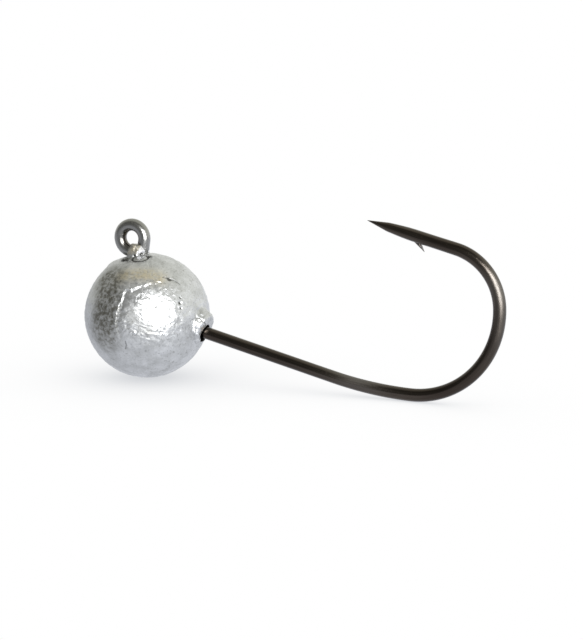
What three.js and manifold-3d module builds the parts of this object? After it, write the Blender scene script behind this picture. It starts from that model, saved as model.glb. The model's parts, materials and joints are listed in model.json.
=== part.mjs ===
// A round-head jig: a lead ball cast around a bent-eye fishing hook.
//
// Millimetres, +Z up. The jig rests on a table: the ball and the lowest point of the bend
// touch Z = 0, the whole hook lies in the plane Y = 0, and +X runs from ball to bend.
// The origin is the middle of the bottom face of the bounding box.
//
// Both pieces are shaped in the hook's own frame and tilted to rest as the last step. In that
// frame the ball's centre is the origin, +X runs along the shank and the point lies at +Z.

import * as THREE from 'three';
import { mergeVertices } from 'three/addons/utils/BufferGeometryUtils.js';
import Module from 'manifold-3d';

// Lead head
const ballDiameter = 12.6;
const collarEnd = 6.75; // from the ball's centre to the flat face that a soft bait butts against
const collarRadius = 1.55;
const collarFlare = radians(19); // widening towards the ball
const collarRise = 0.58; // the collar stands a little high round the shank
const nubTopRadius = 0.95;
const nubBaseRadius = 1.1;
const nubTopDrop = 0.55; // how far below the eye's tangent point the nub of lead ends
const nubBehindStem = 0.5; // the nub stands off the stem, towards the middle of the eye
const castingGap = 0.05; // between wire and lead, all the way round

// Hook wire and its centreline, in order from the eye to the point
const wireDiameter = 1.2;
const eyeRadius = 1.35;
const eyeTurn = radians(280);
const stemLength = 5.24;
const elbowRadius = 2;
const elbowTurn = radians(85); // so the stem leans 5 degrees forward of square
const elbowBehindCentre = 0.43;
const shankRise = 0.28; // of the shank's axis above the ball's centre
const shankEnd = 21.1;
const sweepRadius = 39;
const sweepTurn = radians(12);
const bendRadius = 8.9;
const bendTurn = radians(93);
const returnRadius = 5.83;
const returnTurn = Math.PI - sweepTurn - bendTurn; // brings the point parallel to the shank
const pointLegLength = 9.5;

// Ground point: a short cone, then a slow swell to the full wire
const pointTipRadius = 0.02;
const pointConeLength = 2.2;
const pointConeRadius = 0.45;
const pointGroundLength = 5.3;

// Barb: a tooth cut and lifted from the inner side of the point
const barbRootFromTip = 4.9;
const barbTipFromTip = 6.35;
const barbBackFromTip = 5.95;
const barbHeight = 0.67;
const barbThickness = 0.5;
const barbDepthInWire = 0.35;

// Facets
const wireSides = 20;
const ballSegments = 44;
const ballRings = 26;
const collarSegments = 36;

// Stations along each run of the wire: few on straights, many where it bends or tapers
const elbowStations = 7;
const stemStations = 2;
const eyeStations = 30;
const shankStations = 3;
const sweepStations = 3;
const bendStations = 14;
const returnStations = 10;
const pointLegStations = 1;
const pointGroundStations = 10;

const wireRadius = wireDiameter / 2;
const ballRadius = ballDiameter / 2;
const stemHeading = Math.PI - elbowTurn;

const wasm = await Module();
wasm.setup();

function radians(degrees) {
  return THREE.MathUtils.degToRad(degrees);
}

// ---- Centreline ----------------------------------------------------------------------------

// Follows straight runs and turns head to tail in the hook plane. A turn is positive to the left.
class Trail {
  constructor(x, z, heading) {
    this.position = new THREE.Vector2(x, z);
    this.heading = heading;
    this.runs = [];
  }

  straight(length, stations) {
    const step = new THREE.Vector2(Math.cos(this.heading), Math.sin(this.heading));
    const end = this.position.clone().addScaledVector(step, length);
    this.runs.push({ curve: new THREE.LineCurve(this.position, end), stations });
    this.position = end;
    return this;
  }

  turn(radius, angle, stations) {
    const side = Math.sign(angle);
    const outward = this.heading - side * Math.PI / 2;
    const centre = new THREE.Vector2(
      this.position.x - radius * Math.cos(outward),
      this.position.y - radius * Math.sin(outward),
    );
    const curve = new THREE.EllipseCurve(
      centre.x, centre.y, radius, radius, outward, outward + angle, side < 0,
    );
    this.runs.push({ curve, stations });
    this.heading += angle;
    this.position = curve.getPoint(1);
    return this;
  }
}

// Stands a trail up in the plane Y = 0. Stations follow the counts of its runs, so bends are
// finely divided and straights are not.
class WireCurve extends THREE.Curve {
  constructor(runs) {
    super();
    this.runs = runs;
    this.stations = runs.reduce((sum, run) => sum + run.stations, 0);
  }

  getPoint(t, target = new THREE.Vector3()) {
    let station = t * this.stations;
    let index = 0;
    while (index < this.runs.length - 1 && station > this.runs[index].stations) {
      station -= this.runs[index].stations;
      index += 1;
    }
    const { curve, stations } = this.runs[index];
    const point = curve.getPoint(station / stations);
    return target.set(point.x, 0, point.y);
  }

  getUtoTmapping(u) {
    return u;
  }
}

// The bend, from the elbow in the ball to the tip of the point
function bendTrail() {
  return new Trail(elbowBehindCentre, shankRise, 0)
    .straight(shankEnd - elbowBehindCentre, shankStations)
    .turn(sweepRadius, sweepTurn, sweepStations)
    .turn(bendRadius, bendTurn, bendStations)
    .turn(returnRadius, returnTurn, returnStations)
    .straight(pointLegLength - pointGroundLength, pointLegStations)
    .straight(pointGroundLength, pointGroundStations);
}

// The eye, from the elbow up the stem and round the ring to the wire's cut end
function eyeTrail(extraTurn = 0) {
  return new Trail(elbowBehindCentre, shankRise, Math.PI)
    .turn(elbowRadius, -elbowTurn, elbowStations)
    .straight(stemLength, stemStations)
    .turn(eyeRadius, eyeTurn + extraTurn, eyeStations);
}

// The same run travelled the other way
function reversed({ curve, stations }) {
  const backwards = new THREE.Curve();
  backwards.getPoint = (t) => curve.getPoint(1 - t);
  return { curve: backwards, stations };
}

function wireCurve(extraTurn) {
  const fromEye = eyeTrail(extraTurn).runs.map(reversed).reverse();
  return new WireCurve([...fromEye, ...bendTrail().runs]);
}

function wireTube(radius, extraTurn = 0) {
  const corners = Array.from({ length: wireSides }, (_, i) => {
    const angle = (i + 0.5) * 2 * Math.PI / wireSides;
    return new THREE.Vector2(radius * Math.cos(angle), radius * Math.sin(angle));
  });
  const path = wireCurve(extraTurn);
  return new THREE.ExtrudeGeometry(new THREE.Shape(corners), {
    steps: path.stations,
    extrudePath: path,
  });
}

// ---- Solids --------------------------------------------------------------------------------

function solidOf(geometry) {
  const bare = geometry.clone();
  bare.deleteAttribute('normal');
  bare.deleteAttribute('uv');
  const merged = mergeVertices(bare);
  return new wasm.Manifold(new wasm.Mesh({
    numProp: 3,
    vertProperties: merged.attributes.position.array,
    triVerts: Uint32Array.from(merged.index.array),
  }));
}

function geometryOf(solid) {
  const { vertProperties, triVerts } = solid.getMesh();
  const geometry = new THREE.BufferGeometry();
  geometry.setAttribute('position', new THREE.BufferAttribute(vertProperties, 3));
  geometry.setIndex(new THREE.BufferAttribute(triVerts, 1));
  geometry.computeVertexNormals();
  return geometry;
}

// Radius of the wire at a distance from the tip of the point
function groundRadius(fromTip) {
  if (fromTip < pointConeLength) {
    return THREE.MathUtils.mapLinear(fromTip, 0, pointConeLength, pointTipRadius, pointConeRadius);
  }
  const share = (fromTip - pointConeLength) / (pointGroundLength - pointConeLength);
  const swell = Math.sin(Math.min(share, 1) * Math.PI / 2);
  return THREE.MathUtils.lerp(pointConeRadius, wireRadius, swell);
}

// Draws the end of the wire in towards its axis, as grinding the point does
function grindPoint(geometry, tip) {
  const position = geometry.attributes.position;
  for (let i = 0; i < position.count; i += 1) {
    const fromTip = position.getX(i) - tip.x;
    const aboveShank = position.getZ(i) > tip.y - ballRadius;
    if (aboveShank && fromTip < pointGroundLength) {
      const share = groundRadius(Math.max(fromTip, 0)) / wireRadius;
      position.setY(i, position.getY(i) * share);
      position.setZ(i, tip.y + (position.getZ(i) - tip.y) * share);
    }
  }
  return geometry;
}

function barb(tip) {
  const underside = tip.y - wireRadius;
  const outline = new THREE.Shape([
    new THREE.Vector2(tip.x + barbRootFromTip, underside),
    new THREE.Vector2(tip.x + barbTipFromTip, underside - barbHeight),
    new THREE.Vector2(tip.x + barbBackFromTip, underside),
    new THREE.Vector2(tip.x + barbBackFromTip, underside + barbDepthInWire),
    new THREE.Vector2(tip.x + barbRootFromTip, underside + barbDepthInWire),
  ]);
  const geometry = new THREE.ExtrudeGeometry(outline, { depth: barbThickness, bevelEnabled: false });
  geometry.rotateX(Math.PI / 2);
  geometry.translate(0, barbThickness / 2, 0);
  return geometry;
}

function jigHook() {
  const tip = bendTrail().position;
  const wire = solidOf(grindPoint(wireTube(wireRadius), tip));
  return geometryOf(wire.add(solidOf(barb(tip))));
}

function ball() {
  return new THREE.SphereGeometry(ballRadius, ballSegments, ballRings);
}

// A short boss round the shank, widening into the ball
function collar() {
  const length = collarEnd - ballRadius / 2;
  const innerRadius = collarRadius + length * Math.tan(collarFlare);
  const geometry = new THREE.CylinderGeometry(collarRadius, innerRadius, length, collarSegments);
  geometry.rotateZ(-Math.PI / 2);
  geometry.translate(collarEnd - length / 2, 0, collarRise);
  return geometry;
}

// The nub of lead that climbs beside the stem to the foot of the eye
function nub() {
  const [, stem] = eyeTrail().runs;
  const length = stemLength - nubTopDrop;
  const middle = stem.curve.getPoint(length / 2 / stemLength);
  const geometry = new THREE.CylinderGeometry(nubTopRadius, nubBaseRadius, length, collarSegments);
  geometry.rotateX(Math.PI / 2);
  geometry.rotateY(Math.PI / 2 - stemHeading);
  geometry.translate(middle.x - nubBehindStem, 0, middle.y);
  return geometry;
}

function leadHead() {
  const cavity = solidOf(wireTube(wireRadius + castingGap, castingGap / eyeRadius));
  const casting = solidOf(ball()).add(solidOf(collar())).add(solidOf(nub()));
  return geometryOf(casting.subtract(cavity));
}

// ---- Materials -----------------------------------------------------------------------------

function castLead() {
  return new THREE.MeshStandardMaterial({ color: 0xb3b5b8, roughness: 0.42, metalness: 0.9 });
}

function blackNickel() {
  return new THREE.MeshStandardMaterial({ color: 0x2e2825, roughness: 0.22, metalness: 1 });
}

function piece(name, geometry, material) {
  const mesh = new THREE.Mesh(geometry, material);
  mesh.name = name;
  return mesh;
}

// ---- Assembly ------------------------------------------------------------------------------

// Slope of the line that touches the ball and the outside of the bend from below
function restSlope() {
  const [, , bend] = bendTrail().runs;
  const centre = new THREE.Vector2(bend.curve.aX, bend.curve.aY);
  const bendOutside = bendRadius + wireRadius;
  return centre.angle() - Math.asin((bendOutside - ballRadius) / centre.length());
}

const resting = new THREE.Group();
resting.rotation.y = restSlope();
resting.add(piece('jig_hook', jigHook(), blackNickel()));
resting.add(piece('lead_head', leadHead(), castLead()));

const box = new THREE.Box3().setFromObject(resting, true);
resting.position.set(-(box.min.x + box.max.x) / 2, 0, -box.min.z);

const jigHead = new THREE.Group();
jigHead.add(resting);

export default jigHead;
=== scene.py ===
"""A round-head jig at rest on a white table: a raw lead casting on a black nickel hook.

Both pieces are shaped in millimetres in the hook's own frame (origin at the ball's centre, +X along
the shank, +Z towards the point, the hook in the plane Y = 0) and then placed in the part's frame.
"""
import json
import math

import bpy
import numpy as np
from mathutils import Matrix, Vector, noise

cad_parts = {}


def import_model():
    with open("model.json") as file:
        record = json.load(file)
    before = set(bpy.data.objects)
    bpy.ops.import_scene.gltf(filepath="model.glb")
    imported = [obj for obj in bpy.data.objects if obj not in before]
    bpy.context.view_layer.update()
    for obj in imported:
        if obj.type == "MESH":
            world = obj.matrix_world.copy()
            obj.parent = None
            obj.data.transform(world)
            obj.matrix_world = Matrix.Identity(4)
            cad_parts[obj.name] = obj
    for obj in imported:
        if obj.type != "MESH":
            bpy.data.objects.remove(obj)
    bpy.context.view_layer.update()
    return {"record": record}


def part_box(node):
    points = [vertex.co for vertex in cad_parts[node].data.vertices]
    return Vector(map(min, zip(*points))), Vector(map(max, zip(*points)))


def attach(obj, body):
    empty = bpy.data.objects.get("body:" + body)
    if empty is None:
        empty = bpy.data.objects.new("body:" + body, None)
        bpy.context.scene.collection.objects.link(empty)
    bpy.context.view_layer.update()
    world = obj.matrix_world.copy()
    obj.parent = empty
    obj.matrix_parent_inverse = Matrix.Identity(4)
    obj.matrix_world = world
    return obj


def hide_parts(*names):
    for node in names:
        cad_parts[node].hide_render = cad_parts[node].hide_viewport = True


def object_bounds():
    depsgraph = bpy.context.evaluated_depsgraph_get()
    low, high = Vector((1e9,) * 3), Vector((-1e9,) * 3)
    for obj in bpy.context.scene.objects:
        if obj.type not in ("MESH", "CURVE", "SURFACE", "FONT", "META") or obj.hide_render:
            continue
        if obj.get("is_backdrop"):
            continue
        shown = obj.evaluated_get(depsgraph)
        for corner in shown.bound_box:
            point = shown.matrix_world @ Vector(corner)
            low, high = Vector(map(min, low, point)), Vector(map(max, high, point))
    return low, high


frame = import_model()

MM = 0.001

# ---- Dimensions, in millimetres ---------------------------------------------------------------

WIRE_RADIUS = 0.62
EYE_RADIUS = 1.35
EYE_TURN = math.radians(291)
STEM_LENGTH = 5.24
ELBOW_RADIUS = 2.0
ELBOW_TURN = math.radians(85)
ELBOW_BEHIND_CENTRE = 0.43
SHANK_RISE = 0.28
SHANK_END = 21.1
SWEEP_RADIUS = 39.0
SWEEP_TURN = math.radians(12)
BEND_RADIUS = 8.9
BEND_TURN = math.radians(93)
RETURN_RADIUS = 5.83
RETURN_TURN = math.pi - SWEEP_TURN - BEND_TURN
POINT_LEG = 9.5
CUT_END_SHARE = 0.86  # of the wire's radius, where its cut end is eased

# The bend is pressed: thicker in the hook plane and thinner across it
FORGED_SHARE = 0.05
FORGED_RISE = 8
FORGED_FALL_BEFORE = 2
FORGED_FALL_AFTER = 3

POINT_TIP_RADIUS = 0.02
POINT_CONE = 2.2
POINT_CONE_RADIUS = 0.45
POINT_GROUND = 5.3

# Turns round the wire, in radians from the side that faces the hook's inside
INNER, OUTER = 0.0, math.pi
EYE_HOLE = (1.6, 2.7)  # where the eye's worn outside passes into its hole
EYE_HOLE_DARK_REFLECTION = 0.75  # plating left in the hole, kept dark as a painted dark reflection
WEAR_FADE = 2  # to each side of the top of the stem
BARB_WEAR = 0.5
BARB_EDGE = (0.05, 0.3)  # how far the barb stands off the wire where its wear begins and is full
# Patches of the plating, and patches of shade painted on it: how far along the wire, their reach, the
# side they face and their strength
SCUFFS = [(23.2, 3.0, INNER, 0.9), (45.2, 2.6, OUTER, 0.75), (41.0, 2.2, OUTER, 0.35)]
# Painted shade: the plate darker and browner on the shank's underside and round parts of the bend
WIRE_SHADE_PATCHES = [
    (12.0, 10.0, OUTER, 0.9),
    (33.0, 3.8, OUTER, 0.7), (33.0, 3.8, INNER, 0.5),
    (40.0, 3.0, INNER, 0.9), (52.0, 4.0, INNER, 0.5),
]

# Barb, measured from the tip of the point
BARB_ROOT = 5.2
BARB_BACK = 5.85
BARB_TIP = 6.4
BARB_HEIGHT = 0.62
BARB_BURIED = 0.5  # of its height, inside the wire
BARB_ROOT_WIDTH = 0.6
BARB_TIP_WIDTH = 0.14

COLLAR_END = 6.7
COLLAR_ROOT = 5.2
COLLAR_RADIUS = 1.66
COLLAR_EDGE = 0.45
COLLAR_EDGE_TURN = 75  # degrees
COLLAR_RISE = 0.6
COLLAR_FLARE = 17  # degrees
COLLAR_LEAN = 5  # degrees
NUB_TOP = 6.9  # height of the nub's cut top over the ball's centre
NUB_RADIUS = 1.15
NUB_TOP_RADIUS = 0.45
NUB_RISE = 0.5  # from the ends of its sides to its top
NUB_DEPTH = 1.35  # across the hook plane, as a share of its width
NUB_LEAN = 0.6  # of the top towards the near side
NUB_FACETS = 6
NUB_BEHIND_STEM = 0.5
CAVITY_GAP = 0.03
CAVITY_PAST_COLLAR = 3
MOUTH_FLARE = 0.26
MOUTH_DEPTH = 1.3
MOUTH_DROP = 0.1

# Stations along each run of the wire
EYE_STATIONS = 84
STEM_STATIONS = 14
ELBOW_STATIONS = 16
SHANK_STATIONS = 60
SWEEP_STATIONS = 24
BEND_STATIONS = 80
RETURN_STATIONS = 50
LEG_STATIONS = 14
POINT_STATIONS = 50
BARB_STATIONS = 14
BARB_SIDES = 12
SIDES = 40
# Steps round the solids that make up the casting, and the size of the grid that joins them
BALL_STEPS, BALL_SEGMENTS = 97, 192
COLLAR_EDGE_STEPS, COLLAR_SEGMENTS = 7, 64
VOXEL = 0.06

# ---- The hook's frame, from the CAD -----------------------------------------------------------

head_low, head_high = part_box("lead_head")
ball_radius = (head_high.y - head_low.y) / 2
ball_centre = Vector((head_low.x + ball_radius, 0, head_low.z + ball_radius))
BALL = ball_radius / MM  # the ball's radius in millimetres
shank_axis = Vector(frame["record"]["mounts"][0]["axis"])
slope = math.asin(-shank_axis.z)
to_part = Matrix.Translation(ball_centre) @ Matrix.Rotation(slope, 4, "Y") @ Matrix.Scale(MM, 4)


# ---- Small helpers ----------------------------------------------------------------------------

def smooth_step(low, high, value):
    share = np.clip((value - low) / (high - low), 0, 1)
    return share * share * (3 - 2 * share)


def unit(vectors):
    vectors = np.asarray(vectors, float)
    return vectors / np.linalg.norm(vectors, axis=-1, keepdims=True)


def make_object(name, points, faces):
    mesh = bpy.data.meshes.new(name)
    mesh.from_pydata([tuple(p) for p in points], [], [tuple(f) for f in faces])
    mesh.update()
    made = bpy.data.objects.new(name, mesh)
    bpy.context.scene.collection.objects.link(made)
    return made


def read_vectors(items, name):
    flat = np.zeros(len(items) * 3)
    items.foreach_get(name, flat)
    return flat.reshape(-1, 3)


def points_of(made):
    return read_vectors(made.data.vertices, "co")


def normals_of(made):
    return read_vectors(made.data.vertex_normals, "vector")


def set_points(made, points):
    made.data.vertices.foreach_set("co", points.ravel())
    made.data.update()


def bake_modifiers(made):
    """Replaces the object's mesh by what its modifiers make of it."""
    graph = bpy.context.evaluated_depsgraph_get()
    baked = bpy.data.meshes.new_from_object(made.evaluated_get(graph))
    made.modifiers.clear()
    made.data = baked


def combine(made, other, operation):
    """Joins or cuts a solid with another one, which is used up."""
    modifier = made.modifiers.new("combine", "BOOLEAN")
    modifier.operation = operation
    modifier.object = other
    modifier.solver = "MANIFOLD"
    bake_modifiers(made)
    bpy.data.objects.remove(other)


def store(made, name, values):
    attribute = made.data.attributes.new(name, "FLOAT", "POINT")
    attribute.data.foreach_set("value", np.asarray(values, np.float32))


# ---- Wire centreline --------------------------------------------------------------------------

def walk(heading, runs):
    """Follows runs of (length or radius, turn, stations) from the shank's end of the elbow. A run
    with no turn is straight, and a turn is positive to the left. Gives the points and headings
    in the hook plane."""
    point = np.array([ELBOW_BEHIND_CENTRE, SHANK_RISE])
    points, headings = [point], [heading]
    for size, turn, stations in runs:
        start, first = points[-1], headings[-1]
        side = np.sign(turn)
        for step in range(1, stations + 1):
            share = step / stations
            if turn == 0:
                here = start + size * share * np.array([math.cos(first), math.sin(first)])
            else:
                outward = first - side * math.pi / 2
                now = outward + turn * share
                swing = (math.cos(now) - math.cos(outward), math.sin(now) - math.sin(outward))
                here = start + size * np.array(swing)
            points.append(here)
            headings.append(first + turn * share)
    return np.array(points), np.array(headings)


def bend_line():
    """Along the shank and round the bend to the tip of the point."""
    return walk(0.0, [
        (SHANK_END - ELBOW_BEHIND_CENTRE, 0, SHANK_STATIONS),
        (SWEEP_RADIUS, SWEEP_TURN, SWEEP_STATIONS),
        (BEND_RADIUS, BEND_TURN, BEND_STATIONS),
        (RETURN_RADIUS, RETURN_TURN, RETURN_STATIONS),
        (POINT_LEG - POINT_GROUND, 0, LEG_STATIONS),
        (POINT_GROUND, 0, POINT_STATIONS),
    ])


def eye_line(eye_turn=EYE_TURN):
    """Round the elbow, up the stem and round the eye to the cut end of the wire."""
    return walk(math.pi, [
        (ELBOW_RADIUS, -ELBOW_TURN, ELBOW_STATIONS),
        (STEM_LENGTH, 0, STEM_STATIONS),
        (EYE_RADIUS, eye_turn, EYE_STATIONS),
    ])


def wire_line(eye_turn=EYE_TURN):
    """The whole wire from its cut end at the eye to the point, with distances along it measured
    from where the elbow meets the shank: negative towards the eye."""
    eye_points, eye_headings = eye_line(eye_turn)
    bend_points, bend_headings = bend_line()
    points = np.vstack([eye_points[::-1], bend_points[1:]])
    headings = np.concatenate([eye_headings[::-1] + math.pi, bend_headings[1:]])
    steps = np.linalg.norm(np.diff(points, axis=0), axis=1)
    along = np.concatenate([[0], np.cumsum(steps)])
    return points, headings, along - along[len(eye_points) - 1]


def tip_of_point():
    return bend_line()[0][-1]


# ---- Swept wire -------------------------------------------------------------------------------

def sweep(name, points, headings, in_plane, across):
    """A closed tube round a line in the hook plane, with a radius in that plane and one across it
    at each station."""
    turns = np.arange(SIDES) * 2 * math.pi / SIDES
    normal = np.stack([-np.sin(headings), np.zeros(len(points)), np.cos(headings)], axis=1)
    centre = np.stack([points[:, 0], np.zeros(len(points)), points[:, 1]], axis=1)
    ring = centre[:, None] + normal[:, None] * (in_plane[:, None] * np.cos(turns))[..., None]
    ring = ring + np.array([0, 1, 0]) * (across[:, None] * np.sin(turns))[..., None]
    vertices = np.vstack([ring.reshape(-1, 3), centre[:1], centre[-1:]])
    faces = []
    for i in range(len(points) - 1):
        near, far = i * SIDES, (i + 1) * SIDES
        for j in range(SIDES):
            k = (j + 1) % SIDES
            faces.append((near + k, near + j, far + j, far + k))
    first, last = len(vertices) - 2, len(vertices) - 1
    final = (len(points) - 1) * SIDES
    for j in range(SIDES):
        k = (j + 1) % SIDES
        faces.append((first, j, k))
        faces.append((last, final + k, final + j))
    return make_object(name, vertices, faces)


def ground_share(from_tip):
    """Radius of the point at a distance from its tip, as a share of the wire's."""
    cone = POINT_TIP_RADIUS + (POINT_CONE_RADIUS - POINT_TIP_RADIUS) * from_tip / POINT_CONE
    swell = np.clip((from_tip - POINT_CONE) / (POINT_GROUND - POINT_CONE), 0, 1)
    shoulder = POINT_CONE_RADIUS + (WIRE_RADIUS - POINT_CONE_RADIUS) * np.sin(swell * math.pi / 2)
    return np.minimum(np.where(from_tip < POINT_CONE, cone, shoulder) / WIRE_RADIUS, 1)


def wire():
    points, headings, along = wire_line()
    radius = WIRE_RADIUS * ground_share(along[-1] - along)
    bend_start = SHANK_END - ELBOW_BEHIND_CENTRE
    bend_end = along[-1] - POINT_LEG
    forged = smooth_step(bend_start, bend_start + FORGED_RISE, along)
    forged *= 1 - smooth_step(bend_end - FORGED_FALL_BEFORE, bend_end + FORGED_FALL_AFTER, along)
    in_plane = radius * (1 + FORGED_SHARE * forged)
    across = radius * (1 - FORGED_SHARE * forged)
    in_plane[0] *= CUT_END_SHARE
    across[0] *= CUT_END_SHARE
    return sweep("black_nickel_hook", points, headings, in_plane, across)


def barb():
    """A tooth lifted from the inner side of the point, rounded in front and flat behind."""
    tip_x, tip_z = tip_of_point()
    underside = tip_z - WIRE_RADIUS
    shares = np.linspace(-BARB_BURIED, 1, BARB_STATIONS)
    points, faces = [], []
    for share in shares:
        front_x = tip_x + BARB_ROOT + (BARB_TIP - BARB_ROOT) * share
        back_x = tip_x + BARB_BACK + (BARB_TIP - BARB_BACK) * share
        half = (BARB_ROOT_WIDTH + (BARB_TIP_WIDTH - BARB_ROOT_WIDTH) * share) / 2
        for angle in np.linspace(0, math.pi, BARB_SIDES):
            x = back_x + (front_x - back_x) * math.sin(angle)
            points.append((x, half * math.cos(angle), underside - BARB_HEIGHT * share))
    for i in range(len(shares) - 1):
        upper, lower = i * BARB_SIDES, (i + 1) * BARB_SIDES
        for j in range(BARB_SIDES):
            k = (j + 1) % BARB_SIDES
            faces.append((upper + j, lower + j, lower + k, upper + k))
    tip = (len(shares) - 1) * BARB_SIDES
    faces.append(tuple(range(BARB_SIDES)))
    faces.append(tuple(tip + j for j in reversed(range(BARB_SIDES))))
    return make_object("barb", points, faces)


def hook():
    made = wire()
    combine(made, barb(), "UNION")
    mark_wire(made)
    return made


def beside_wire(points):
    """How far along the wire each point lies, how far round it and how far from its centreline."""
    line, headings, along = wire_line()
    gaps = np.linalg.norm(points[:, None, (0, 2)] - line[None], axis=2)
    nearest = gaps.argmin(axis=1)
    offset = points[:, (0, 2)] - line[nearest]
    inward = -offset[:, 0] * np.sin(headings[nearest]) + offset[:, 1] * np.cos(headings[nearest])
    return along[nearest], np.arctan2(points[:, 1], inward), np.hypot(points[:, 1], inward)


def mark_wire(made):
    """Stores the way the wire was drawn, where its plating is worn and scuffed, where a dark
    reflection is painted into the eye's hole, and where shade is painted along the wire.
    """
    along, around, away = beside_wire(points_of(made))
    store(made, "along", along)
    store(made, "around", around)
    in_the_hole = smooth_step(*EYE_HOLE, np.abs(around))
    up_the_stem = 1 - smooth_step(-STEM_LENGTH - WEAR_FADE, -STEM_LENGTH + WEAR_FADE, along)
    on_the_barb = smooth_step(*BARB_EDGE, away - WIRE_RADIUS)
    # Less wear in the eye's hole keeps its plate dark: a painted dark reflection
    worn = up_the_stem * (1 - EYE_HOLE_DARK_REFLECTION * in_the_hole) + BARB_WEAR * on_the_barb
    store(made, "worn", worn)
    store(made, "scuffed", patches(SCUFFS, along, around))
    store(made, "wire_painted_shade", patches(WIRE_SHADE_PATCHES, along, around))


def patches(places, along, around):
    """How strongly each point of the wire is covered by patches that face one side of it."""
    total = np.zeros(len(along))
    for middle, reach, side, share in places:
        facing = (1 + np.cos(around - side)) / 2
        total += share * facing * np.exp(-((along - middle) / reach) ** 2)
    return total


# ---- Lead casting -----------------------------------------------------------------------------

def lathe(name, profile, origin, axis, segments):
    """Turns a profile of (distance along the axis, radius), which starts and ends on the axis. Flat
    faces close it at its first and last rings."""
    axis = Vector(axis).normalized()
    turn = Vector((0, 0, 1)).rotation_difference(axis).to_matrix()
    points, faces = [], []
    rings = profile[1:-1]
    for height, radius in rings:
        for j in range(segments):
            angle = 2 * math.pi * j / segments
            local = Vector((radius * math.cos(angle), radius * math.sin(angle), height))
            points.append(Vector(origin) + turn @ local)
    for i in range(len(rings) - 1):
        low, high = i * segments, (i + 1) * segments
        for j in range(segments):
            k = (j + 1) % segments
            faces.append((low + j, low + k, high + k, high + j))
    faces.append(tuple(reversed(range(segments))))
    faces.append(tuple((len(rings) - 1) * segments + j for j in range(segments)))
    return make_object(name, points, faces)


def arc_profile(centre, radius, start, end, steps):
    """Points of a profile along an arc, angles in degrees from the axis direction."""
    angles = np.radians(np.linspace(start, end, steps))
    return [(centre[0] + radius * math.cos(a), centre[1] + radius * math.sin(a)) for a in angles]


def ball():
    profile = arc_profile((0, 0), BALL, 180, 0, BALL_STEPS)
    return lathe("ball", profile, (0, 0, 0), (0, 1, 0), BALL_SEGMENTS)


def collar():
    """A short conical boss whose end leans out a little at the top."""
    lean = math.radians(COLLAR_LEAN)
    flare = math.tan(math.radians(COLLAR_FLARE))
    wide = COLLAR_RADIUS + (COLLAR_END - COLLAR_ROOT) * flare
    rounding = (COLLAR_END - COLLAR_EDGE, COLLAR_RADIUS - COLLAR_EDGE)
    edge = arc_profile(rounding, COLLAR_EDGE, COLLAR_EDGE_TURN, 0, COLLAR_EDGE_STEPS)
    profile = [(BALL / 2, 0), (BALL / 2, wide), (COLLAR_ROOT, wide), *edge, (COLLAR_END, 0)]
    origin = (0, 0, COLLAR_RISE + COLLAR_END * math.sin(lean))
    axis = (math.cos(lean), 0, -math.sin(lean))
    return lathe("collar", profile, origin, axis, COLLAR_SEGMENTS)


def nub():
    """The cut-off sprue of lead that climbs the stem to the foot of the eye."""
    points, headings = eye_line()
    heading = headings[ELBOW_STATIONS + 1]
    foot = Vector((points[ELBOW_STATIONS][0] - NUB_BEHIND_STEM, 0, points[ELBOW_STATIONS][1]))
    top = (NUB_TOP - foot.z) / math.sin(heading)
    profile = [(0, 0), (0, NUB_RADIUS), (top - NUB_RISE, NUB_RADIUS), (top, NUB_TOP_RADIUS), (top, 0)]
    made = lathe("nub", profile, foot, (math.cos(heading), 0, math.sin(heading)), NUB_FACETS)
    corners = points_of(made) * (1, NUB_DEPTH, 1)
    corners[-NUB_FACETS:, 1] -= NUB_LEAN
    set_points(made, corners)
    return made


def merged(name, parts):
    """One skin over several overlapping solids, with even quads and small fillets at the joins."""
    meshes = [p.data for p in parts]
    points = np.vstack([points_of(p) for p in parts])
    offsets = np.cumsum([0] + [len(m.vertices) for m in meshes])
    faces = [tuple(v + o for v in f.vertices) for m, o in zip(meshes, offsets) for f in m.polygons]
    for part in parts:
        bpy.data.objects.remove(part)
    made = make_object(name, points, faces)
    remesh = made.modifiers.new("skin", "REMESH")
    remesh.mode = "VOXEL"
    remesh.voxel_size = VOXEL
    smooth = made.modifiers.new("fillets", "SMOOTH")
    smooth.factor = 0.5
    smooth.iterations = 10
    bake_modifiers(made)
    return made


def near_side(x, z):
    """The direction from the ball's centre to a place on its near side, in millimetres across it."""
    return unit((x, -math.sqrt(BALL ** 2 - x ** 2 - z ** 2), z))


# Where the metal ran and froze, and where shade and light are painted on it, as millimetres across
# the near side of the ball
FOLD = [
    (-0.1, -0.3), (-0.4, 0.6), (-0.45, 1.5), (-0.5, 2.7),
    (-0.55, 3.4), (0.2, 3.7), (0.9, 4.2), (1.9, 4.75),
]
FLOW_PATCH = (2.2, 1.0)
FLAT = (3.3, 2.7)
DULL_STREAK = [(1.2, 1.4), (2.1, 0.8), (3.0, 0.3)]
DULL_REACH = 0.75
BLISTER = (-4.5, 4.3)
MOTTLED_STREAK = [(-3.0, 3.6), (-2.0, 1.6), (-1.6, -1.6)]
MOTTLED_EDGE = (0.8, 2.7)
MOTTLED_FADE, MOTTLED_FADE_DEPTH = 0.35, 3  # below the ball's middle
# A tan band painted over the top of the ball as a warm reflection
TAN_STREAK = [(-1.6, 4.4), (-0.1, 5.0), (1.8, 5.15)]
TAN_REACH = 0.85
SPRUE_RIM = (-1.35, 5.95)
SPRUE_RIM_RADIUS = 0.8
# Shade painted on the ball beside the foot of the nub, in the oxide's colour
SPRUE_SHADE = (-2.9, 5.5)
SPRUE_SHADE_REACH = 0.8
SPRUE_SHADE_SHARE = 0.8
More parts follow.
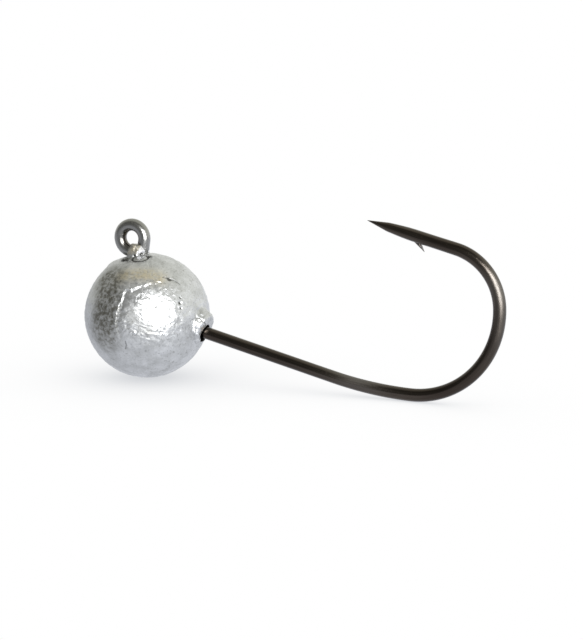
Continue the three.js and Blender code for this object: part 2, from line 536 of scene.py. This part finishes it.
# Distances from the ball's centre at which its skin passes into the nub's, or into either boss's
NUB_FOOT = (BALL + 0.15, BALL + 0.3)
BOSS_FOOT = (BALL + 0.02, BALL + 0.15)
NUB_BRIGHT_EDGE = (-2.0, -1.8)  # along the shank, the edge between the nub's bright side, partly a fresh cut and partly a painted highlight, and its tan side of painted shade
# Tan painted on the nub's far side as shade
NUB_TAN = 0.8
DENT_DARK_DEPTH = (0.005, 0.06)  # of a dent
BORE_EDGE = (0.3, 0.36)  # from the wire's surface
# Each pit: where, how wide and how deep
PITS = [
    ((2.7, 5.1), 0.24, 0.08),
    ((-2.85, 5.35), 0.3, 0.24),
    ((-0.65, 6.2), 0.2, 0.15),
    ((4.55, 3.25), 0.17, 0.09),
    ((4.8, 2.8), 0.13, 0.07),
    ((4.35, 3.7), 0.12, 0.07),
    ((3.0, -1.95), 0.15, 0.03),
]
# Each groove: the places that it runs through, how wide and how deep
GROOVES = [
    ([(1.0, -1.4), (1.12, -1.8), (1.07, -2.2)], 0.09, 0.04),
    ([(2.1, 5.2), (2.9, 5.1), (3.6, 4.8)], 0.09, 0.035),
    ([(-3.3, 5.2), (-2.4, 5.45)], 0.12, 0.1),
    ([(5.8, 1.65), (5.9, 1.85), (6.1, 1.3)], 0.09, 0.03),
]
BEADS = [(1.4, -0.4), (1.75, -0.2), (2.1, -0.35), (2.5, -0.2), (2.95, 0.0), (4.45, 2.65)]

SWIRL_SEED = 13  # not 0, which takes the clock's time
SWIRL_SIZE, SWIRL_AMOUNT = 1.6, 0.5
# The relief's heights, with the reach, width or grain size of each
LUMPS, LUMP_SIZE = 0.035, 3.2
FLAT_DEPTH, FLAT_REACH = 0.12, 1.8
BLISTER_HEIGHT, BLISTER_REACH = 0.14, 0.9
WRINKLES, WRINKLE_SIZE = 0.025, 0.9
SKIN, MOTTLED_SKIN, SKIN_SIZE = 0.018, 0.02, 0.4
RIPPLES, RIPPLE_REACH, RIPPLE_SQUEEZE = 0.06, 1.8, (1, 1, 3.5)
LIP_HEIGHT, LIP_WIDTH = 0.05, 0.09
STEP_HEIGHT, STEP_REACH = 0.05, 0.7
TROUGH_DEPTH, TROUGH_PLACE, TROUGH_WIDTH = 0.04, 0.3, 0.16
FOLD_WANDER, FOLD_WANDER_SIZE = 0.16, 0.7
FOLD_FADE, FOLD_FADING = 0.8, (0.3, 1.1)
LIP_BREAKS, LIP_BREAK_SIZE = (-0.4, 0.3), 0.6
SEAM_HEIGHT, SEAM_WIDTH = 0.02, 0.08
SEAM_BREAKS, SEAM_BREAK_SIZE = (-0.3, 0.6), 0.9
BOSS_LUMPS, BOSS_LUMP_SIZE = 0.09, 0.7
TURNED_RINGS, TURNED_PITCH = 0.012, 0.24
TURNED_FROM = (5.8, 6.1)
BEAD_HEIGHT, BEAD_REACH = 0.06, 0.13
SPRUE_RIM_DEPTH, SPRUE_RIM_WIDTH = 0.14, 0.1


def distance_to(directions, place):
    """Distance in millimetres over the ball to a place on it."""
    return np.arccos(np.clip(directions @ place, -1, 1)) * BALL


def nearness(directions, place, reach):
    """1 at a place on the ball, falling off smoothly over a reach in millimetres."""
    return np.exp(-(distance_to(directions, place) / reach) ** 2)


def grain(points, size, octaves=3):
    """Fractal noise, about -1 to 1, whose largest grains are size millimetres."""
    return np.array([noise.fractal(Vector(p / size), 1.0, 2.0, octaves) for p in points])


def ridges(points, size, octaves=3):
    """Sharp wandering ridges, about 0 to 1."""
    return 1 - 2 * np.abs(grain(points, size, octaves))


def warped(points, size, amount):
    """Points pushed about, so that noise read at them swirls as poured metal does."""
    shift = np.array([noise.turbulence_vector(Vector(p / size), 2, False) for p in points])
    return points + amount * shift


def smooth_path(places, steps=12):
    """A Catmull-Rom curve through places on the ball."""
    knots = np.array([near_side(*p) for p in places])
    knots = np.vstack([2 * knots[0] - knots[1], knots, 2 * knots[-1] - knots[-2]])
    path = []
    for a, b, c, d in zip(knots, knots[1:], knots[2:], knots[3:]):
        for t in np.linspace(0, 1, steps, endpoint=False):
            bending = 2 * a - 5 * b + 4 * c - d + t * (3 * (b - c) + d - a)
            path.append(b + 0.5 * t * (c - a + t * bending))
    path.append(knots[-2])
    return unit(path)


def beside_path(directions, places):
    """Distance in millimetres from a path on the ball, and which side of it each point is on."""
    path = smooth_path(places)
    nearest = np.full(len(directions), np.inf)
    side = np.zeros(len(directions))
    for a, b in zip(path, path[1:]):
        run = b - a
        share = np.clip((directions - a) @ run / (run @ run), 0, 1)
        offset = directions - (a + share[:, None] * run)
        distance = np.linalg.norm(offset, axis=1)
        closer = distance < nearest
        nearest = np.where(closer, distance, nearest)
        side = np.where(closer, np.sign(offset @ np.cross(a, run)), side)
    return nearest * BALL, side


def mottling(directions):
    """1 along the oxidised streak, less lower down, falling to 0 round its edge."""
    fading = 1 - MOTTLED_FADE * smooth_step(0, MOTTLED_FADE_DEPTH, -BALL * directions[:, 2])
    return fading * (1 - smooth_step(*MOTTLED_EDGE, beside_path(directions, MOTTLED_STREAK)[0]))


def on_nub(points):
    """1 on the nub and 0 on the ball."""
    return (points[:, 0] < 0) * smooth_step(*NUB_FOOT, np.linalg.norm(points, axis=1))


def dents(points):
    """Depth in millimetres of the pits, the grooves and the rim left by the sprue."""
    directions = unit(points)
    from_rim = distance_to(directions, near_side(*SPRUE_RIM)) - SPRUE_RIM_RADIUS
    depth = SPRUE_RIM_DEPTH * np.exp(-(from_rim / SPRUE_RIM_WIDTH) ** 2)
    for place, width, deepest in PITS:
        depth += deepest * nearness(directions, near_side(*place), width)
    for places, width, deepest in GROOVES:
        depth += deepest * streak(directions, places, width)
    return depth * (1 - on_nub(points))


def relief(points):
    """Height of the cast surface above its mould, in millimetres."""
    directions = unit(points)
    height = poured_skin(points, directions) + fold(points)
    height += seam(points) + boss_lumps(points) - dents(points)
    for place in BEADS:
        height += BEAD_HEIGHT * nearness(directions, near_side(*place), BEAD_REACH)
    return height


def poured_skin(points, directions):
    """Lumps, wrinkles and grain all over, with ripples where the metal ran in."""
    swirl = warped(points, SWIRL_SIZE, SWIRL_AMOUNT)
    flow = nearness(directions, near_side(*FLOW_PATCH), RIPPLE_REACH)
    lumps = LUMPS * grain(points, LUMP_SIZE, 2)
    lumps -= FLAT_DEPTH * nearness(directions, near_side(*FLAT), FLAT_REACH)
    lumps += BLISTER_HEIGHT * nearness(directions, near_side(*BLISTER), BLISTER_REACH)
    wrinkles = WRINKLES * (ridges(swirl, WRINKLE_SIZE) - 0.5)
    skin = (SKIN + MOTTLED_SKIN * mottling(directions)) * grain(points, SKIN_SIZE, 3)
    ripples = RIPPLES * flow * grain(swirl * RIPPLE_SQUEEZE, 1.0, 2)
    return lumps + wrinkles + skin + ripples


def fold(points):
    """The edge where a second wave of metal froze over the first: a broken lip, a step that fades
    along it and a trough on its low side."""
    distance, side = beside_path(unit(warped(points, FOLD_WANDER_SIZE, FOLD_WANDER)), FOLD)
    broken = smooth_step(*LIP_BREAKS, grain(points, LIP_BREAK_SIZE, 2))
    fading = 1 - FOLD_FADE * smooth_step(*FOLD_FADING, points[:, 0])
    lip = LIP_HEIGHT * broken * fading * np.exp(-(distance / LIP_WIDTH) ** 2)
    step = STEP_HEIGHT * fading * (side > 0) * np.exp(-distance / STEP_REACH)
    trough = TROUGH_DEPTH * (side < 0) * np.exp(-((distance - TROUGH_PLACE) / TROUGH_WIDTH) ** 2)
    return lip + step - trough


def seam(points):
    """A faint line where the mould's halves met, lost in places."""
    seen = smooth_step(*SEAM_BREAKS, grain(points, SEAM_BREAK_SIZE, 2))
    return SEAM_HEIGHT * seen * np.exp(-(points[:, 1] / SEAM_WIDTH) ** 2)


def boss_lumps(points):
    """Lumps on the nub and the collar, and the rings that a turned mould leaves on the collar."""
    boss = smooth_step(*BOSS_FOOT, np.linalg.norm(points, axis=1))
    x = points[:, 0]
    rings = np.sin(2 * math.pi * x / TURNED_PITCH) * smooth_step(*TURNED_FROM, x)
    return boss * (BOSS_LUMPS * grain(points, BOSS_LUMP_SIZE, 2) + TURNED_RINGS * rings)


def wire_cavity():
    """The room that the wire takes in the lead, a little wide at the collar's mouth."""
    points, headings, along = wire_line(EYE_TURN + 2 * CAVITY_GAP / EYE_RADIUS)
    inside = along < COLLAR_END + CAVITY_PAST_COLLAR
    points, headings, along = points[inside], headings[inside], along[inside]
    from_centre = along + ELBOW_BEHIND_CENTRE
    mouth = smooth_step(COLLAR_END - MOUTH_DEPTH, COLLAR_END - MOUTH_DEPTH / 2, from_centre)
    points[:, 1] -= MOUTH_DROP * mouth
    radius = WIRE_RADIUS + CAVITY_GAP + MOUTH_FLARE * mouth
    return sweep("cavity", points, headings, radius, radius)


def head():
    made = merged("cast_lead_head", [ball(), collar(), nub()])
    points = points_of(made)
    noise.seed_set(SWIRL_SEED)
    set_points(made, points + relief(points)[:, None] * normals_of(made))
    combine(made, wire_cavity(), "DIFFERENCE")
    mark_lead(made)
    return made


def mark_lead(made):
    """Stores where the lead is oxidised, where shade is painted beside the nub, where the nub's
    bright side and the tan are painted, where it is dull, where its dents are darker and where a
    shadow is painted in its bore.
    """
    points = points_of(made)
    directions = unit(points)
    nub_side = on_nub(points)
    # The nub's near side is painted bright: partly a fresh cut, partly a painted highlight
    cut_and_highlight = nub_side * smooth_step(*NUB_BRIGHT_EDGE, points[:, 0])
    # Tan painted as a warm reflection along a band, and as shade on the nub's far side
    tan = np.maximum(streak(directions, TAN_STREAK, TAN_REACH), NUB_TAN * (nub_side - cut_and_highlight))
    shade = SPRUE_SHADE_SHARE * nearness(directions, near_side(*SPRUE_SHADE), SPRUE_SHADE_REACH)
    # The oxide's mask also carries shade painted beside the nub's foot
    store(made, "oxide_and_shade", np.maximum(mottling(directions), shade))
    store(made, "cut_and_highlight", cut_and_highlight)
    store(made, "tan", tan)
    store(made, "dull", streak(directions, DULL_STREAK, DULL_REACH))
    store(made, "dent_dark", smooth_step(*DENT_DARK_DEPTH, dents(points)))
    store(made, "bore", bore_shadow(points))


def streak(directions, places, reach):
    """1 along a path on the ball, falling off smoothly over a reach in millimetres."""
    return np.exp(-(beside_path(directions, places)[0] / reach) ** 2)


def bore_shadow(points):
    """1 inside the wire's hole in the collar, up to the rim of its mouth."""
    at_collar = points[:, 0] > BALL / 2
    away = beside_wire(points[at_collar] + (0, 0, MOUTH_DROP))[2] - WIRE_RADIUS
    shadow = np.zeros(len(points))
    shadow[at_collar] = 1 - smooth_step(*BORE_EDGE, away)
    return shadow


# ---- Materials --------------------------------------------------------------------------------

# Colours are linear red, green and blue
CLEAN_LEAD, CLOUDED_LEAD = (0.50, 0.51, 0.52), (0.43, 0.44, 0.445)
# Bright lead of the nub's near side: partly a fresh cut, partly a painted highlight
FRESH_CUT_AND_HIGHLIGHT = (0.80, 0.80, 0.84)
# Painted warm reflection on the ball, and painted shade on the nub
TAN_REFLECTION_AND_SHADE = (0.47, 0.42, 0.31)
# Also painted as shade beside the nub's foot
GREY_OXIDE = (0.105, 0.102, 0.085)
# Painted shade in creases
CREASE_SHADE = (0.07, 0.07, 0.07)
# Darker in the dents
DENT_DARK = (0.03, 0.03, 0.025)
# Painted shadow inside the wire's hole in the collar
BORE_PAINTED_SHADOW = (0.01, 0.01, 0.01)
DARK_PLATE, LIGHT_PLATE = (0.042, 0.032, 0.024), (0.066, 0.053, 0.042)
GUNMETAL = (0.25, 0.25, 0.24)
# Painted shade on the plate
PLATE_IN_PAINTED_SHADE = (0.012, 0.006, 0.003)
WHITE = (1.0, 1.0, 1.0)
# Noise cells in a metre
LEAD_CLOUDS, LEAD_SPOTS, LEAD_FLECKS, LEAD_GRAIN = 700.0, 2600.0, 4200.0, 9000.0
PLATE_SPECKS = 5200.0
# The part of each noise, out of 0 to 1, over which its effect comes in
CLOUD_RANGE, SPOT_RANGE, FLECK_RANGE = (0.35, 0.65), (0.42, 0.58), (0.6, 0.68)
TAN_RANGE = (0.4, 0.6)
LINE_RANGE, LINE_SHEEN_RANGE, SPECK_RANGE = (0.35, 0.65), (0.3, 0.7), (0.5, 0.75)
# Drawing lines in the plating: cells to a radian round the wire and to a millimetre along it
LINES_ROUND, LINES_ALONG = 5.0, 0.35
LINE_DEPTH = 0.4  # as a share of the specks'
BUMP_DEPTH = 0.00002
# How much oxide each mark adds, as a share; the mottled mark's share also paints shade beside the
# nub's foot
MOTTLED_OXIDE_AND_SHADE, MOTTLED_SPOT_OXIDE_AND_SHADE = 0.46, 0.36
SPOT_OXIDE, CLOUD_OXIDE, FLECK_OXIDE, DULL_OXIDE = 0.08, 0.12, 0.3, 0.3
# Roughness of each metal, and what each mark adds to it
LEAD_SMOOTH, LEAD_ROUGH = 0.30, 0.42
MOTTLED_ROUGHNESS, DULL_ROUGHNESS = 0.12, 0.3
PLATE_SMOOTH, PLATE_ROUGH = 0.12, 0.2
SPECK_ROUGHNESS, WORN_ROUGHNESS, SCUFF_ROUGHNESS = 0.12, 0.1, 0.5
SCUFF_BARED = 0.35
LEAST_TAN = 0.45
# Pointiness from a sharp crease to a flat face, and the most that the painted crease shade and the
# darkening in the dents cover
CREASE_RANGE = (0.42, 0.495)
CREASE_SHARE, DENT_DARK_SHARE = 0.75, 0.85


class Nodes:
    """Adds nodes to a material or a world, with their inputs set by name."""

    def __init__(self, owner):
        owner.use_nodes = True
        self.tree = owner.node_tree
        self.tree.nodes.clear()

    def feed(self, socket, value):
        """Links an input to another node's output, or gives it a fixed value."""
        if isinstance(value, bpy.types.NodeSocket):
            self.tree.links.new(value, socket)
        else:
            socket.default_value = value

    def add(self, kind, settings=None, **inputs):
        node = self.tree.nodes.new(kind)
        for key, value in (settings or {}).items():
            setattr(node, key, value)
        for key, value in inputs.items():
            self.feed(node.inputs[key.replace("_", " ")], value)
        return node

    def attribute(self, name):
        return self.add("ShaderNodeAttribute", {"attribute_name": name}).outputs["Fac"]

    def noise(self, place, scale, detail, roughness=0.5):
        return self.add("ShaderNodeTexNoise", Vector=place, Scale=scale, Detail=detail,
                        Roughness=roughness).outputs["Fac"]

    def math(self, operation, first, second):
        node = self.add("ShaderNodeMath", {"operation": operation})
        self.feed(node.inputs[0], first)
        self.feed(node.inputs[1], second)
        return node.outputs["Value"]

    def sum(self, first, second):
        return self.math("ADD", first, second)

    def product(self, first, second):
        return self.math("MULTIPLY", first, second)

    def dot(self, first, second):
        node = self.add("ShaderNodeVectorMath", {"operation": "DOT_PRODUCT"})
        self.feed(node.inputs[0], first)
        self.feed(node.inputs[1], second)
        return node.outputs["Value"]

    def span(self, value, low, high, at_low=0.0, at_high=1.0):
        """Maps low to high onto another range, held at its ends."""
        return self.add("ShaderNodeMapRange", Value=value, From_Min=low, From_Max=high,
                        To_Min=at_low, To_Max=at_high).outputs["Result"]

    def mix(self, share, first, second):
        """Blends two colours, each a socket or linear red, green and blue."""
        node = self.add("ShaderNodeMix", {"data_type": "RGBA"})
        # Sockets for each data type are named alike. Inputs 6 and 7 and output 2 are for colours
        self.feed(node.inputs[0], share)
        for socket, colour in zip((node.inputs[6], node.inputs[7]), (first, second)):
            self.feed(socket, (*colour, 1) if isinstance(colour, tuple) else colour)
        return node.outputs[2]


def lead_material():
    """Bright lead dulled by grey oxide, which is darkest where the metal chilled first, with shade, a
    highlight and a warm reflection painted into its colour.
    """
    material = bpy.data.materials.new("raw_lead")
    n = Nodes(material)
    place = n.add("ShaderNodeTexCoord").outputs["Object"]
    oxide_and_shade, dull = n.attribute("oxide_and_shade"), n.attribute("dull")
    cloud = n.noise(place, LEAD_CLOUDS, 3.0, 0.6)
    spots = n.noise(place, LEAD_SPOTS, 3.0, 0.6)
    fine = n.noise(place, LEAD_GRAIN, 4.0)

    clouded = n.span(cloud, *CLOUD_RANGE)
    oxidised = oxide_share(n, place, spots, clouded, oxide_and_shade, dull)
    metal = bare_metal(n, spots, clouded)
    colour = with_painted_shade(n, n.mix(oxidised, metal, GREY_OXIDE))

    rough = n.span(spots, *CLOUD_RANGE, LEAD_SMOOTH, LEAD_ROUGH)
    rough = n.sum(rough, n.product(oxide_and_shade, MOTTLED_ROUGHNESS))
    rough = n.sum(rough, n.product(dull, DULL_ROUGHNESS))
    bump = n.add("ShaderNodeBump", Height=fine, Strength=0.35, Distance=BUMP_DEPTH)
    lead = n.add("ShaderNodeBsdfPrincipled", Base_Color=colour, Metallic=0.85, Roughness=rough,
                 Normal=bump.outputs["Normal"])
    n.add("ShaderNodeOutputMaterial", Surface=lead.outputs["BSDF"])
    return material


def oxide_share(n, place, spots, clouded, oxide_and_shade, dull):
    """How much oxide covers the lead: spots, clouds and flecks, and more in the marked places, one of
    which is shade painted beside the nub's foot.
    """
    flecks = n.noise(place, LEAD_FLECKS, 2.0)
    spotted = n.span(spots, *SPOT_RANGE, 1.0, 0.0)
    marked = n.product(oxide_and_shade, n.sum(n.product(spotted, MOTTLED_SPOT_OXIDE_AND_SHADE), MOTTLED_OXIDE_AND_SHADE))
    share = n.sum(marked, n.product(spotted, SPOT_OXIDE))
    share = n.sum(share, n.product(clouded, CLOUD_OXIDE))
    share = n.sum(share, n.span(flecks, *FLECK_RANGE, 0.0, FLECK_OXIDE))
    return n.sum(share, n.product(dull, DULL_OXIDE))


def bare_metal(n, spots, clouded):
    """The colour under the oxide: grey lead, tan painted as a warm reflection and as shade, and the
    nub's bright side, partly a fresh cut of the sprue and partly a painted highlight.
    """
    grey = n.mix(clouded, CLEAN_LEAD, CLOUDED_LEAD)
    tan_share = n.product(n.attribute("tan"), n.span(spots, *TAN_RANGE, LEAST_TAN, 1.0))
    tinted = n.mix(tan_share, grey, TAN_REFLECTION_AND_SHADE)
    return n.mix(n.attribute("cut_and_highlight"), tinted, FRESH_CUT_AND_HIGHLIGHT)


def with_painted_shade(n, colour):
    """Darkens a colour: painted shade in creases, darker in the dents, and a painted shadow inside
    the wire's hole.
    """
    crease = n.add("ShaderNodeNewGeometry").outputs["Pointiness"]
    sunk = n.span(crease, *CREASE_RANGE, CREASE_SHARE, 0.0)
    creased = n.mix(sunk, colour, CREASE_SHADE)
    dent_darkened = n.mix(n.product(n.attribute("dent_dark"), DENT_DARK_SHARE), creased, DENT_DARK)
    # Paints shadow inside the wire's hole
    return n.mix(n.attribute("bore"), dent_darkened, BORE_PAINTED_SHADOW)


def nickel_material():
    """Black nickel plating over drawn wire, worn to gunmetal at the eye with a dark reflection
    painted in its hole, scuffed, and darker and browner where shade is painted along it.
    """
    material = bpy.data.materials.new("black_nickel")
    n = Nodes(material)
    place = n.add("ShaderNodeTexCoord").outputs["Object"]
    worn, scuffed = n.attribute("worn"), n.attribute("scuffed")
    across = n.product(n.attribute("around"), LINES_ROUND)
    lengthways = n.product(n.attribute("along"), LINES_ALONG)
    drawn_place = n.add("ShaderNodeCombineXYZ", X=across, Y=lengthways, Z=0.0).outputs["Vector"]
    drawn = n.noise(drawn_place, 1.0, 3.0)
    specks = n.noise(place, PLATE_SPECKS, 2.0)

    plate = n.mix(n.span(drawn, *LINE_RANGE), DARK_PLATE, LIGHT_PLATE)
    rubbed = n.mix(n.sum(worn, n.product(scuffed, SCUFF_BARED)), plate, GUNMETAL)
    # Paints shade along the wire, darker and browner
    colour = n.mix(n.attribute("wire_painted_shade"), rubbed, PLATE_IN_PAINTED_SHADE)
    rough = n.span(drawn, *LINE_SHEEN_RANGE, PLATE_SMOOTH, PLATE_ROUGH)
    rough = n.sum(rough, n.span(specks, *SPECK_RANGE, 0.0, SPECK_ROUGHNESS))
    wear = n.sum(n.product(worn, WORN_ROUGHNESS), n.product(scuffed, SCUFF_ROUGHNESS))
    rough = n.sum(rough, wear)
    height = n.sum(n.product(drawn, LINE_DEPTH), specks)
    bump = n.add("ShaderNodeBump", Height=height, Strength=0.06, Distance=BUMP_DEPTH)
    nickel = n.add("ShaderNodeBsdfPrincipled", Base_Color=colour, Metallic=1.0, Roughness=rough,
                   Coat_Weight=0.3, Coat_Roughness=0.25, Normal=bump.outputs["Normal"])
    n.add("ShaderNodeOutputMaterial", Surface=nickel.outputs["BSDF"])
    return material


# ---- Stage ------------------------------------------------------------------------------------

CAMERA_AZIMUTH = math.radians(24.35)
CAMERA_ELEVATION = math.radians(10.57)
CAMERA_DISTANCE = 0.2818
AIM_RIGHT = 0.01458
AIM_UP = -0.0005
LENS = 156.8
ROOM_LIGHT = 0.28  # as a share of the cove's
COVE_HORIZON, COVE_TOP = (0.98, 0.985, 0.95), (0.80, 0.80, 0.72)
COVE_ON_LEFT, COVE_ON_RIGHT = 0.95, 1.35
DIM_LEFT, DIM_DOWN = 0.4, 0.25  # how the dim side leans from the camera's direction
# Shares of a direction over which one side of the room passes into the other
ROOM_RANGE, COVE_SIDES, COVE_HEIGHTS = (-0.05, 0.35), (-0.6, 0.7), (0.1, 0.7)
TABLE_HALF = 3.0
# Painted light of the glowing table, as seen in reflections: its colour behind and in front, and its
# strength on the left and right
TABLE_BEHIND, TABLE_IN_FRONT = (0.88, 0.90, 0.96), (0.32, 0.33, 0.34)
TABLE_ON_LEFT, TABLE_ON_RIGHT = 0.85, 1.2
TABLE_DEPTHS, TABLE_SIDES = (0.0, 0.08), (-0.04, 0.02)  # over which it changes, in metres
CONTACT_SHADE = (0.64, 0.655, 0.68)
SHADOW_REACH = 0.02
UNSHADED = 0.97  # share of open sky
SOFTBOX_PLACE = (0.31, 0.06, 0.94)  # to the right, up and towards the camera
SOFTBOX_DISTANCE = 0.4
SOFTBOX_SIZE = (0.26, 0.22)
SOFTBOX_WATTS = 3.8

right = Vector((math.cos(CAMERA_AZIMUTH), math.sin(CAMERA_AZIMUTH), 0))
back = Vector((math.sin(CAMERA_AZIMUTH) * math.cos(CAMERA_ELEVATION),
               -math.cos(CAMERA_AZIMUTH) * math.cos(CAMERA_ELEVATION), math.sin(CAMERA_ELEVATION)))
up = back.cross(right)


def camera():
    lens = bpy.data.cameras.new("camera")
    lens.lens = LENS
    lens.clip_start = 0.01
    made = bpy.data.objects.new("camera", lens)
    aim = ball_centre + right * AIM_RIGHT + up * AIM_UP
    facing = Matrix((right, up, back)).transposed().to_4x4()
    made.matrix_world = Matrix.Translation(aim + back * CAMERA_DISTANCE) @ facing
    bpy.context.scene.collection.objects.link(made)
    bpy.context.scene.camera = made


def floor():
    """A white table under the jig's lowest point, which glows though it is no lamp: in reflections it
    is brighter behind and to the right and dim in front. The camera sees it as clear white, with
    painted shade only close to the jig."""
    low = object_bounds()[0][2]
    edge = TABLE_HALF
    corners = [(-edge, -edge, low), (edge, -edge, low), (edge, edge, low), (-edge, edge, low)]
    made = make_object("floor", corners, [(0, 1, 2, 3)])
    material = bpy.data.materials.new("white_table")
    n = Nodes(material)
    seen = n.add("ShaderNodeLightPath").outputs["Is Camera Ray"]
    open_sky = n.add("ShaderNodeAmbientOcclusion", Distance=SHADOW_REACH).outputs["AO"]
    shade = n.mix(n.span(open_sky, 0.0, UNSHADED), CONTACT_SHADE, WHITE)
    position = n.add("ShaderNodeNewGeometry").outputs["Position"]
    in_front, to_right = n.dot(position, back), n.dot(position, right)
    table = n.mix(n.span(in_front, *TABLE_DEPTHS), TABLE_BEHIND, TABLE_IN_FRONT)
    bounce = n.mix(seen, table, shade)
    cast = n.span(to_right, *TABLE_SIDES, TABLE_ON_LEFT, TABLE_ON_RIGHT)
    strength = n.span(seen, 0.0, 1.0, cast, 1.0)
    glow = n.add("ShaderNodeEmission", Color=bounce, Strength=strength)
    n.add("ShaderNodeOutputMaterial", Surface=glow.outputs["Emission"])
    made.data.materials.append(material)
    made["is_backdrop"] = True


def world():
    """A white cove behind the jig and a dim room behind the camera, which sees only white."""
    sky = bpy.data.worlds.new("studio")
    bpy.context.scene.world = sky
    n = Nodes(sky)
    toward = n.add("ShaderNodeTexCoord").outputs["Generated"]
    to_dim_side = n.dot(toward, back - DIM_LEFT * right - DIM_DOWN * up)
    to_right = n.dot(toward, right)
    upward = n.dot(toward, (0, 0, 1))
    room = n.span(to_dim_side, *ROOM_RANGE, 1.0, ROOM_LIGHT)
    room = n.product(room, n.span(to_right, *COVE_SIDES, COVE_ON_LEFT, COVE_ON_RIGHT))
    seen = n.add("ShaderNodeLightPath").outputs["Is Camera Ray"]
    strength = n.span(seen, 0.0, 1.0, room, 1.0)
    tint = n.mix(n.span(upward, *COVE_HEIGHTS), COVE_HORIZON, COVE_TOP)
    colour = n.mix(seen, tint, WHITE)
    glow = n.add("ShaderNodeBackground", Color=colour, Strength=strength)
    n.add("ShaderNodeOutputWorld", Surface=glow.outputs["Background"])


def softbox():
    """The one lamp, which the camera doesn't see."""
    light = bpy.data.lights.new("softbox", "AREA")
    light.shape = "RECTANGLE"
    light.size, light.size_y = SOFTBOX_SIZE
    light.energy = SOFTBOX_WATTS
    made = bpy.data.objects.new("softbox", light)
    along_right, along_up, along_back = SOFTBOX_PLACE
    toward = right * along_right + up * along_up + back * along_back
    spot = ball_centre + toward.normalized() * SOFTBOX_DISTANCE
    facing = toward.to_track_quat("Z", "Y").to_matrix().to_4x4()
    made.matrix_world = Matrix.Translation(spot) @ facing
    made.visible_camera = False
    bpy.context.scene.collection.objects.link(made)


# ---- Assembly ---------------------------------------------------------------------------------

def place(made, material, slot, node):
    """Moves a finished piece into the part's frame, where it stands for a CAD node."""
    made.data.transform(to_part)
    made.data.shade_smooth()
    made.data.materials.clear()
    made.data.materials.append(material)
    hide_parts(node)
    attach(made, "root")


place(hook(), nickel_material(), "hook_wire", "jig_hook")
place(head(), lead_material(), "cast_lead", "lead_head")
floor()
world()
camera()
softbox()
bpy.context.scene.view_settings.view_transform = "Standard"
